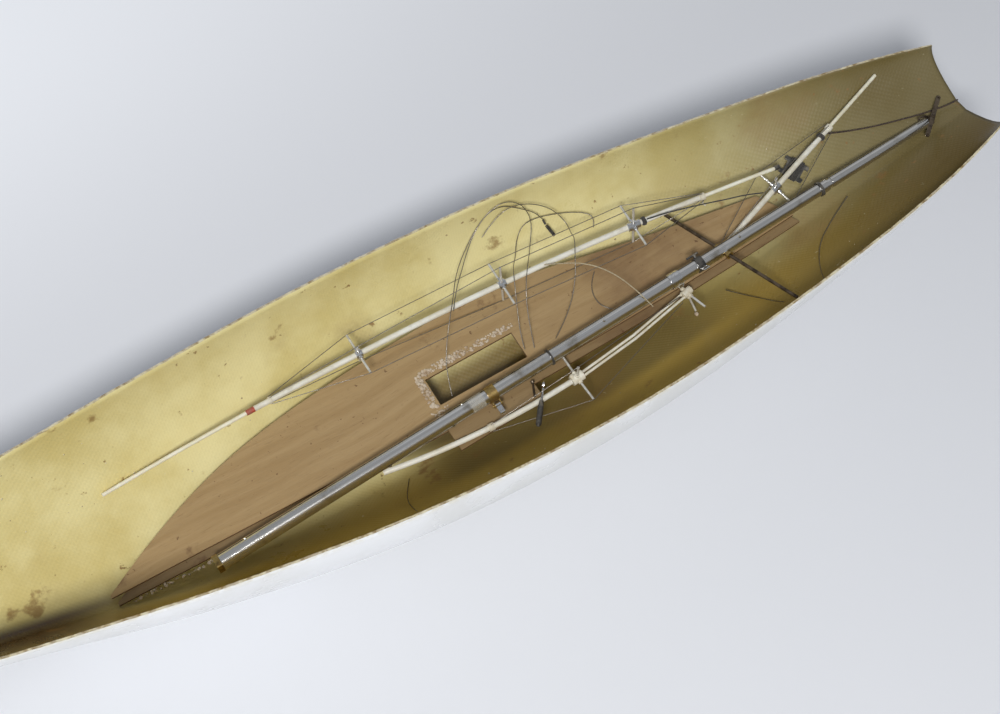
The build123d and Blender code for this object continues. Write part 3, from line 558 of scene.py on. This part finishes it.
cordPieces = {
    "loose_wire_1": {
        "body": "spar_a", "slot": "loose_wire", "material": "wire", "diameter": 0.8, "length": 238,
        "end": "fitting", "stiffness": "stiff", "with": ["wire_crimps"],
        "route": [(-81, 6, 62), (-77, 22, 72), (-68, 38, 84), (-56, 52, 101), (-44, 66, 108), (-30, 86, 107),
                  (-14, 103, 104), (4, 114, 114), (20, 118, 127), (36, 118, 130), (54, 113, 119),
                  (66, 107, 112), (70, 103, 105)],
    },
    "loose_wire_2": {
        "body": "spar_a", "slot": "loose_wire", "material": "wire", "diameter": 0.8, "length": 287,
        "end": "bare", "stiffness": "stiff",
        "route": [(-49, 57, 104), (-37, 73, 108), (-22, 90, 103), (-8, 104, 107), (7, 114, 119),
                  (24, 117, 132), (40, 116, 136), (54, 111, 127), (59, 103, 110), (50, 91, 97), (40, 77, 100),
                  (30, 63, 111), (20, 50, 105), (12, 35, 91), (6, 18, 80), (2, 6, 73)],
    },
    "loose_wire_3": {
        "body": "spar_a", "slot": "loose_wire", "material": "wire", "diameter": 0.8, "length": 227,
        "end": "bare", "stiffness": "stiff",
        "route": [(10, 108, 112), (24, 112, 123), (42, 112.5, 131), (62, 109, 126), (80, 102, 114),
                  (89, 91, 99), (84, 77, 103), (78, 63, 117), (70, 49, 113), (62, 35, 99), (50, 22, 88),
                  (34, 10, 80), (22, 3, 76)],
    },
    "loose_wire_4": {
        "body": "spar_a", "slot": "loose_wire", "material": "wire", "diameter": 0.8, "length": 216,
        "end": "bare", "stiffness": "stiff",
        "route": [(111, 81, 90), (117, 88, 95), (106, 97, 99), (85, 104, 102), (66, 108, 104),
                  (52, 108.5, 102), (42, 102, 93), (34, 90, 89), (24, 77, 97), (15, 63, 111), (9, 50, 105),
                  (3, 36, 90), (-3, 21, 79), (-6, 9, 73)],
    },
    "loose_wire_5": {
        "body": "panel_upper", "slot": "loose_wire", "material": "wire", "diameter": 0.8, "length": 50,
        "end": "bare", "stiffness": "stiff",
        "route": [(87, 42, 84), (79, 35, 81), (74, 23, 77.5), (76, 10, 75), (86, 2, 74)],
    },
    "loose_wire_6": {
        "body": "hull", "slot": "loose_wire", "material": "wire", "diameter": 0.8, "length": 130,
        "end": "bare", "stiffness": "stiff",
        "route": [(324, -14, 99), (309, -20, 94), (293, -28, 91), (277, -38, 92), (263, -52, 96),
                  (252, -66, 103), (242, -80, 112), (234, -91, 123)],
    },
    "loose_wire_7": {
        "body": "hull", "slot": "loose_wire", "material": "wire", "diameter": 0.8, "length": 73,
        "end": "bare", "stiffness": "stiff",
        "route": [(186, -24, 64), (192, -36, 68), (197, -49, 75), (200, -62, 84), (201, -74, 94),
                  (201, -82, 103)],
    },
    "loose_wire_8": {
        "body": "hull", "slot": "loose_wire", "material": "wire", "diameter": 0.8, "length": 59,
        "end": "bare", "stiffness": "stiff",
        "route": [(-141, -20, 12), (-148, -30, 16), (-155, -42, 23), (-158, -55, 32), (-158, -66, 41)],
    },
    "white_cord": {
        "body": "spar_a", "slot": "white_line", "material": "whiteLine", "diameter": 1.0, "length": 107,
        "end": "bare", "stiffness": "medium",
        "route": [(42, 55, 110), (56, 47, 112), (71, 37, 113), (83, 25, 111), (92, 12, 107), (98, -2, 103),
                  (102, -14, 99), (106, -22, 93)],
    },
    "black_cord": {
        "body": "spar_a", "slot": "black_line", "material": "blackLine", "diameter": 1.2, "length": 113,
        "end": "object", "stiffness": "limp",
        "route": [(143, 46, 118), (158, 42, 120.5), (176, 37, 121.5), (196, 32, 121), (216, 27.5, 119),
                  (236, 24, 117), (252, 20, 113.5)],
    },
    "brown_cord": {
        "body": "spar_b", "slot": "brown_line", "material": "brownLine", "diameter": 1.4, "length": 135,
        "end": "object", "stiffness": "medium",
        "route": [(331, 43, 124), (345, 40, 120.5), (364, 34, 119), (384, 27, 120), (404, 20, 123),
                  (421, 13, 127), (436, 8.5, 130), (449, 5, 133), (457, 3.5, 136.5)],
    },
}


def layCord(name, facts):
    data = bpy.data.curves.new(name + "Line", "CURVE")
    data.dimensions = "3D"
    data.bevel_depth = facts["diameter"] / 2000
    data.bevel_resolution = 4
    data.resolution_u = 8
    data.use_fill_caps = True
    route = [spot(*point) for point in facts["route"]]
    line = data.splines.new("NURBS")
    line.points.add(len(route) - 1)
    for point, place in zip(line.points, route):
        point.co = (*place, 1.0)
    line.order_u = 3
    line.use_endpoint_u = True
    data.materials.append(materials[facts["material"]])
    piece = bpy.data.objects.new(name + "Line", data)
    bpy.context.collection.objects.link(piece)
    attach(piece, facts["body"])
    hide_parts(name)


for cordName, cordFacts in cordPieces.items():
    layCord(cordName, cordFacts)
print("cords laid:", len(cordPieces))


# ---- floor

def buildFloor():
    made, tree, shader = startMaterial("studioFloor", Roughness=0.75, Emission_Color=rgb(0.90, 0.94, 1.0))
    across = addNode(tree, "ShaderNodeSeparateXYZ", {0: objectPlace(tree)}).outputs
    # Painted light: the floor is coloured lighter towards the back and glows towards the back left, standing in for
    # the light across the backdrop.
    behind = smoothRamp(tree, across["Y"], *lighting["backdropRun"])
    left = smoothRamp(tree, across["X"], 0.9, -0.3)
    paintedFloorLight = mixColour(tree, behind, rgb(0.80, 0.81, 0.84), rgb(0.92, 0.93, 0.96))
    tree.links.new(paintedFloorLight, shader.inputs["Base Color"])
    paintedFloorGlow = mathNode(tree, "MULTIPLY", mathNode(tree, "MULTIPLY", behind, left), lighting["backdropGlow"])
    tree.links.new(paintedFloorGlow, shader.inputs["Emission Strength"])
    mesh = bpy.data.meshes.new("studioFloor")
    half = lighting["floorSize"] / 2
    corners = [(-half, -half, 0), (half, -half, 0), (half, half, 0), (-half, half, 0)]
    mesh.from_pydata(corners, [], [(0, 1, 2, 3)])
    mesh.materials.append(made)
    floor = bpy.data.objects.new("studioFloor", mesh)
    bpy.context.collection.objects.link(floor)


buildFloor()


# ---- mesh helpers

def addPiece(name, mesh, body, slotName, *mats):
    for material in mats:
        mesh.materials.append(material)
    piece = bpy.data.objects.new(name, mesh)
    bpy.context.collection.objects.link(piece)
    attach(piece, body)
    return piece


# Round tube through a list of points, added to a bmesh.
def tubeThrough(build, points, radius, sides=8, closed=False):
    rings = []
    count = len(points)
    across = None
    for index, point in enumerate(points):
        before = points[index - 1] if index or closed else point
        after = points[(index + 1) % count] if index < count - 1 or closed else point
        run = (after - before).normalized()
        across = run.orthogonal() if across is None else across - run * across.dot(run)
        across.normalize()
        other = run.cross(across)
        ring = []
        for side in range(sides):
            turn = math.tau * side / sides
            ring.append(build.verts.new(point + (across * math.cos(turn) + other * math.sin(turn)) * radius))
        rings.append(ring)
    pairs = list(zip(rings, rings[1:])) + ([(rings[-1], rings[0])] if closed else [])
    for first, last in pairs:
        for side in range(sides):
            following = (side + 1) % sides
            build.faces.new((first[side], first[following], last[following], last[side]))
    if not closed:
        build.faces.new(list(reversed(rings[0])))
        build.faces.new(rings[-1])


def meshFrom(build, name, smooth=True):
    bmesh.ops.recalc_face_normals(build, faces=build.faces[:])
    for face in build.faces:
        face.smooth = smooth
    mesh = bpy.data.meshes.new(name)
    build.to_mesh(mesh)
    build.free()
    return mesh


# ---- hull shell

hullLook = {
    "stations": 318,
    "girthSteps": 72,
    "bowX": -0.635,
    "sternX": 0.635,
    "sheerLow": 0.140,
    "sheerLowX": 0.134,
    "sheerRise": 0.0915,
    "skin": 0.002,
    "solidBowEnds": -0.565,
    "ragged": 0.0007,
}


def hullEdge(x):
    return hullLook["sheerLow"] + hullLook["sheerRise"] * (x - hullLook["sheerLowX"]) ** 2


def evenSteps(points, count):
    reach = [0.0]
    for before, after in zip(points, points[1:]):
        reach.append(reach[-1] + (after - before).length)
    even = []
    index = 0
    for step in range(count + 1):
        wanted = reach[-1] * step / count
        while index < len(points) - 2 and reach[index + 1] < wanted:
            index += 1
        span = reach[index + 1] - reach[index]
        share = (wanted - reach[index]) / span if span > 1e-9 else 0.0
        even.append(points[index].lerp(points[index + 1], share))
    return even, reach[-1]


def buildHull():
    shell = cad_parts["hull_shell"].data
    tree = BVHTree.FromPolygons([v.co.copy() for v in shell.vertices],
                                [tuple(p.vertices) for p in shell.polygons])
    inner, outer, lengths = [], [], []
    for index in range(hullLook["stations"] + 1):
        share = index / hullLook["stations"]
        x = hullLook["bowX"] + (hullLook["sternX"] - hullLook["bowX"]) * share
        x = min(max(x, hullLook["bowX"] + 0.0003), hullLook["sternX"] - 0.0003)
        centre = Vector((x, 0.0, hullEdge(x) - 0.001))
        outside, inside = [], []
        for step in range(181):
            turn = math.radians(step)
            ray = Vector((0.0, math.cos(turn), -math.sin(turn)))
            skinHit = tree.ray_cast(centre + ray * 0.5, -ray)[0]
            outside.append(skinHit)
            roomHit = tree.ray_cast(centre, ray)[0] if x > hullLook["solidBowEnds"] else None
            if roomHit is None or (roomHit - skinHit).length < 0.0005:
                reach = (skinHit - centre).length
                roomHit = centre + ray * max(reach - hullLook["skin"] * 1.2, reach * 0.35)
            inside.append(roomHit)
        evenOut, _ = evenSteps(outside, hullLook["girthSteps"])
        evenIn, whole = evenSteps(inside, hullLook["girthSteps"])
        outer.append(evenOut)
        inner.append(evenIn)
        lengths.append(whole)
    build = bmesh.new()
    uvs = build.loops.layers.uv.new("girth")

    def makeGrid(rows):
        return [[build.verts.new(point) for point in row] for row in rows]

    for rows in (inner, outer):
        for row in rows:
            for point in (row[0], row[-1]):
                jag = noise.noise(Vector((point.x * 260, point.y * 40, 1.3)))
                fine = noise.noise(Vector((point.x * 900, point.y * 90, 4.7)))
                point.z += 0.0006 + hullLook["ragged"] * (0.7 * jag + 0.5 * fine)
    inVerts, outVerts = makeGrid(inner), makeGrid(outer)
    steps = hullLook["girthSteps"]

    def girthPlace(row, column):
        return (inner[row][0].x, (0.5 - column / steps) * lengths[row])

    def addFace(corners, index):
        face = build.faces.new([vert for vert, _, _ in corners])
        face.material_index = index
        face.smooth = index != 2
        for loop, (_, row, column) in zip(face.loops, corners):
            loop[uvs].uv = girthPlace(row, column)

    for row in range(hullLook["stations"]):
        for column in range(steps):
            square = [(row, column), (row + 1, column), (row + 1, column + 1), (row, column + 1)]
            addFace([(inVerts[r][c], r, c) for r, c in square], 0)
            addFace([(outVerts[r][c], r, c) for r, c in reversed(square)], 1)
        for column in (0, steps):
            corners = [(inVerts[row][column], row, column), (outVerts[row][column], row, column),
                       (outVerts[row + 1][column], row + 1, column), (inVerts[row + 1][column], row + 1, column)]
            addFace(corners if column == 0 else list(reversed(corners)), 2)
    for row in (0, hullLook["stations"]):
        for column in range(steps):
            corners = [(inVerts[row][column], row, column), (inVerts[row][column + 1], row, column + 1),
                       (outVerts[row][column + 1], row, column + 1), (outVerts[row][column], row, column)]
            addFace(corners if row else list(reversed(corners)), 2)
    bmesh.ops.recalc_face_normals(build, faces=build.faces[:])
    mesh = bpy.data.meshes.new("hullShell")
    build.to_mesh(mesh)
    build.free()
    return mesh


cutEdge = finishOf(
    "cutLaminate",
    {"base": (0.66, 0.58, 0.36), "second": (0.28, 0.19, 0.08), "worn": (0.82, 0.78, 0.62), "scale": 140.0,
     "rough": (0.5, 0.8), "dust": 0.2, "fine": 1200.0, "bump": 0.6},
)
hull = addPiece("hullShell", buildHull(), "hull", "hull_laminate",
                materials["resin"], materials["gelCoat"], cutEdge)
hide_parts("hull_shell")
print("hull shell built:", len(hull.data.polygons), "faces")


# ---- crumbs of old sealant and resin

panelSlope = {"height": 64.0, "x": 0.085, "y": 0.20}


def onPanel(x, y, lift=0.0):
    return spot(x, y, panelSlope["height"] + panelSlope["x"] * x + panelSlope["y"] * y + lift)


def crumb(build, centre, size, flat=0.65):
    made = bmesh.ops.create_icosphere(build, subdivisions=2, radius=size)["verts"]
    seed = Vector((chance.random() * 50, chance.random() * 50, chance.random() * 50))
    for vert in made:
        rough = 1 + 0.5 * noise.noise(vert.co / size * 0.9 + seed)
        vert.co = Vector((vert.co.x * rough, vert.co.y * rough, vert.co.z * rough * flat)) + centre


def bandOfCrumbs(name, bands, body, slotName, material):
    build = bmesh.new()
    for start, end, width, count, sizes in bands:
        for _ in range(count):
            share = chance.random()
            x = start[0] + (end[0] - start[0]) * share + (chance.random() - 0.5) * width
            y = start[1] + (end[1] - start[1]) * share + (chance.random() - 0.5) * width
            lift = start[2] + (end[2] - start[2]) * share
            size = sizes[0] + (sizes[1] - sizes[0]) * chance.random() ** 2
            crumb(build, onPanel(x, y, lift), size / 1000)
    return addPiece(name, meshFrom(build, name), body, slotName, material)


hatchSealant = bandOfCrumbs(
    "hatchSealant",
    [((-96, 38, 0.2), (-2, 38, 0.2), 6.0, 240, (0.5, 1.7)), ((-98, 6, 0.2), (-98, 38, 0.2), 6.0, 110, (0.5, 1.9)),
     ((-102, 0, 0.1), (-90, 2, 0.1), 5.0, 30, (0.4, 1.2))],
    "panel_upper", "sealant", materials["sealant"],
)
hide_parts("hatch_sealant")
bandOfCrumbs(
    "edgeSealant",
    [((-395, -10.5, -4.6), (-262, -15.5, -4.6), 2.6, 150, (0.4, 1.3)),
     ((-262, -15.5, -4.6), (-120, -16.5, -4.6), 2.2, 60, (0.3, 0.8))],
    "panel_lower", "sealant", materials["sealant"],
)
print("sealant crumbs laid")


hullTree = BVHTree.FromPolygons([v.co.copy() for v in hull.data.vertices],
                                [tuple(p.vertices) for p in hull.data.polygons])


# Point of the hull's inside under a place seen from above.
def hullInside(x, y):
    return hullTree.ray_cast(Vector((x, y, 0.4)), Vector((0, 0, -1)))[0]


gritLook = {
    "count": 90,
    "fromX": -0.35,
    "spreadX": 0.85,
    "fromY": 0.055,
    "spreadY": 0.045,
    "farShare": 0.6,
    "belowEdge": 0.01,
    "lift": 0.0002,
    "least": 0.0004,
    "growth": 0.0007,
}


def looseGrit(name, look, material):
    build = bmesh.new()
    for _ in range(look["count"]):
        x = look["fromX"] + look["spreadX"] * chance.random()
        y = look["fromY"] + look["spreadY"] * chance.random()
        y *= 1 if chance.random() < look["farShare"] else -1
        found = hullInside(x, y)
        if found and found.z < hullEdge(x) - look["belowEdge"]:
            size = look["least"] + look["growth"] * chance.random() ** 3
            crumb(build, found + Vector((0, 0, look["lift"])), size)
    return addPiece(name, meshFrom(build, name), "hull", "hull_laminate", material)


looseGrit("looseGrit", gritLook, cutEdge)
dropLook = {"place": (154, -26, 0), "size": 0.002, "lift": 0.001, "flat": 0.9}
dropBuild = bmesh.new()
dropPlace = hullInside(*spot(*dropLook["place"]).xy)
crumb(dropBuild, dropPlace + Vector((0, 0, dropLook["lift"])), dropLook["size"], dropLook["flat"])
addPiece("resinDrop", meshFrom(dropBuild, "resinDrop"), "hull", "hull_laminate", materials["sealant"])


# ---- knots, wraps and the wound line

knotLook = {
    "line": 0.00045,
    "stepsPerTurn": 24,
    "wander": 0.00012,
    "wanderRate": 1.7,
    "layers": [{"radius": 0.0032, "turns": 5, "pitch": 0.00078}, {"radius": 0.0037, "turns": 2.5, "pitch": 0.0009}],
}


def wrapsAround(build, centre, run, radius, turns, pitch):
    run = run.normalized()
    across = run.orthogonal().normalized()
    other = run.cross(across)
    points = []
    perTurn = knotLook["stepsPerTurn"]
    for step in range(int(turns * perTurn) + 1):
        turn = math.tau * step / perTurn
        along = (step / perTurn - turns / 2) * pitch
        wander = knotLook["wander"] * math.sin(turn * knotLook["wanderRate"])
        points.append(centre + run * (along + wander)
                      + (across * math.cos(turn) + other * math.sin(turn)) * radius)
    tubeThrough(build, points, knotLook["line"], 8)


knotPieces = {
    "sparAKnot": {"node": "spar_a_knot", "run": (0.985, -0.105, 0.062), "body": "spar_a"},
    "sparBKnot": {"node": "spar_b_knot", "run": (0.92794, 0.26139, 0.26575), "body": "spar_b"},
}
for knotName, facts in knotPieces.items():
    low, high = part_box(facts["node"])
    middle = (Vector(low) + Vector(high)) / 2
    build = bmesh.new()
    for layer in knotLook["layers"]:
        wrapsAround(build, middle, Vector(facts["run"]), **layer)
    knot = addPiece(knotName, meshFrom(build, knotName), facts["body"], "black_line", materials["blackLine"])
    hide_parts(facts["node"])

winderLook = {
    "centre": (298, 34, 104),
    "along": (0.9, 0.45, 0.4),
    "facing": (-0.27, -0.45, 1.0),
    "halfWidth": 0.0098,
    "halfDepth": 0.0019,
    "line": 0.00048,
    "turns": 15,
    "stepsPerTurn": 28,
    "layerReach": (0.0128, -0.0128 * 0.86),
    "layerGap": 0.0006,
    "inset": (0.0006, 0.0005),
    "wander": 0.0004,
    "wanderRate": 0.37,
}


def buildHank():
    build = bmesh.new()
    facing = Vector(winderLook["facing"]).normalized()
    along = Vector(winderLook["along"])
    along = (along - facing * along.dot(facing)).normalized()
    across = facing.cross(along)
    centre = spot(*winderLook["centre"])
    points = []
    steps = winderLook["turns"] * winderLook["stepsPerTurn"]
    for layer, reach in enumerate(winderLook["layerReach"]):
        for step in range(steps + 1):
            turn = math.tau * step / winderLook["stepsPerTurn"]
            place = (step / steps - 0.5) * reach
            wander = winderLook["wander"] * math.sin(turn * winderLook["wanderRate"] + layer)
            wide = winderLook["halfWidth"] - winderLook["inset"][0] + layer * winderLook["layerGap"]
            deep = winderLook["halfDepth"] - winderLook["inset"][1] + layer * winderLook["layerGap"]
            squareness = abs(math.cos(turn)) ** 0.5 * (1 if math.cos(turn) > 0 else -1)
            points.append(centre + along * (wide * squareness) + facing * (deep * math.sin(turn))
                          + across * (place + wander))
    tubeThrough(build, points, winderLook["line"], 7)
    return meshFrom(build, "lineHank")


hank = addPiece("lineHank", buildHank(), "spar_b", "black_line", materials["blackLine"])
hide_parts("line_hank")
print("knots and wound line built")


# ---- finishes of the pieces that keep their CAD shape

finishes = {
    "ply": ["deck_panel_upper"],
    # painted-shade copy of the ply
    "plyShaded": ["deck_panel_lower", "hatch_cover"],
    "aluminium": ["mast_tube", "mast_top_tube", "mast_ferrule"],
    "brass": ["mast_foot_plug", "gooseneck_band", "spreader_bush"],
    "steel": ["mast_fasteners", "mast_clamp", "gooseneck_tang", "band_shackle", "turnbuckle_stud",
              "spar_a_hubs", "spar_b_hub"],
    "darkSteel": ["masthead_crane", "spreader_rod", "loose_screw", "masthead_plug"],
    "blackPlastic": ["mast_rings", "cleat_band", "turnbuckle_barrel", "line_winder", "spar_a_heel_plug",
                     "wire_crimps"],
    "clearTape": ["mast_tape"],
    "whiteSpar": ["spar_a_tube", "spar_b_tube", "spar_c_tube", "spar_c_rods"],
    "creamRod": ["spar_a_tip", "spar_a_heel", "spar_b_tip"],
    "whitePlastic": ["spar_a_collars", "spar_b_fittings", "spar_c_fittings"],
    "clearArm": ["spar_a_arms", "spar_b_arms", "spar_c_arms"],
    "wire": ["spar_a_stays", "spar_b_stays", "spar_c_stays"],
    "redTape": ["spar_a_tape"],
}
for finish, nodeNames in finishes.items():
    for nodeName in nodeNames:
        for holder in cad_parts[nodeName].material_slots:
            holder.material = materials[finish]
print("finishes set")
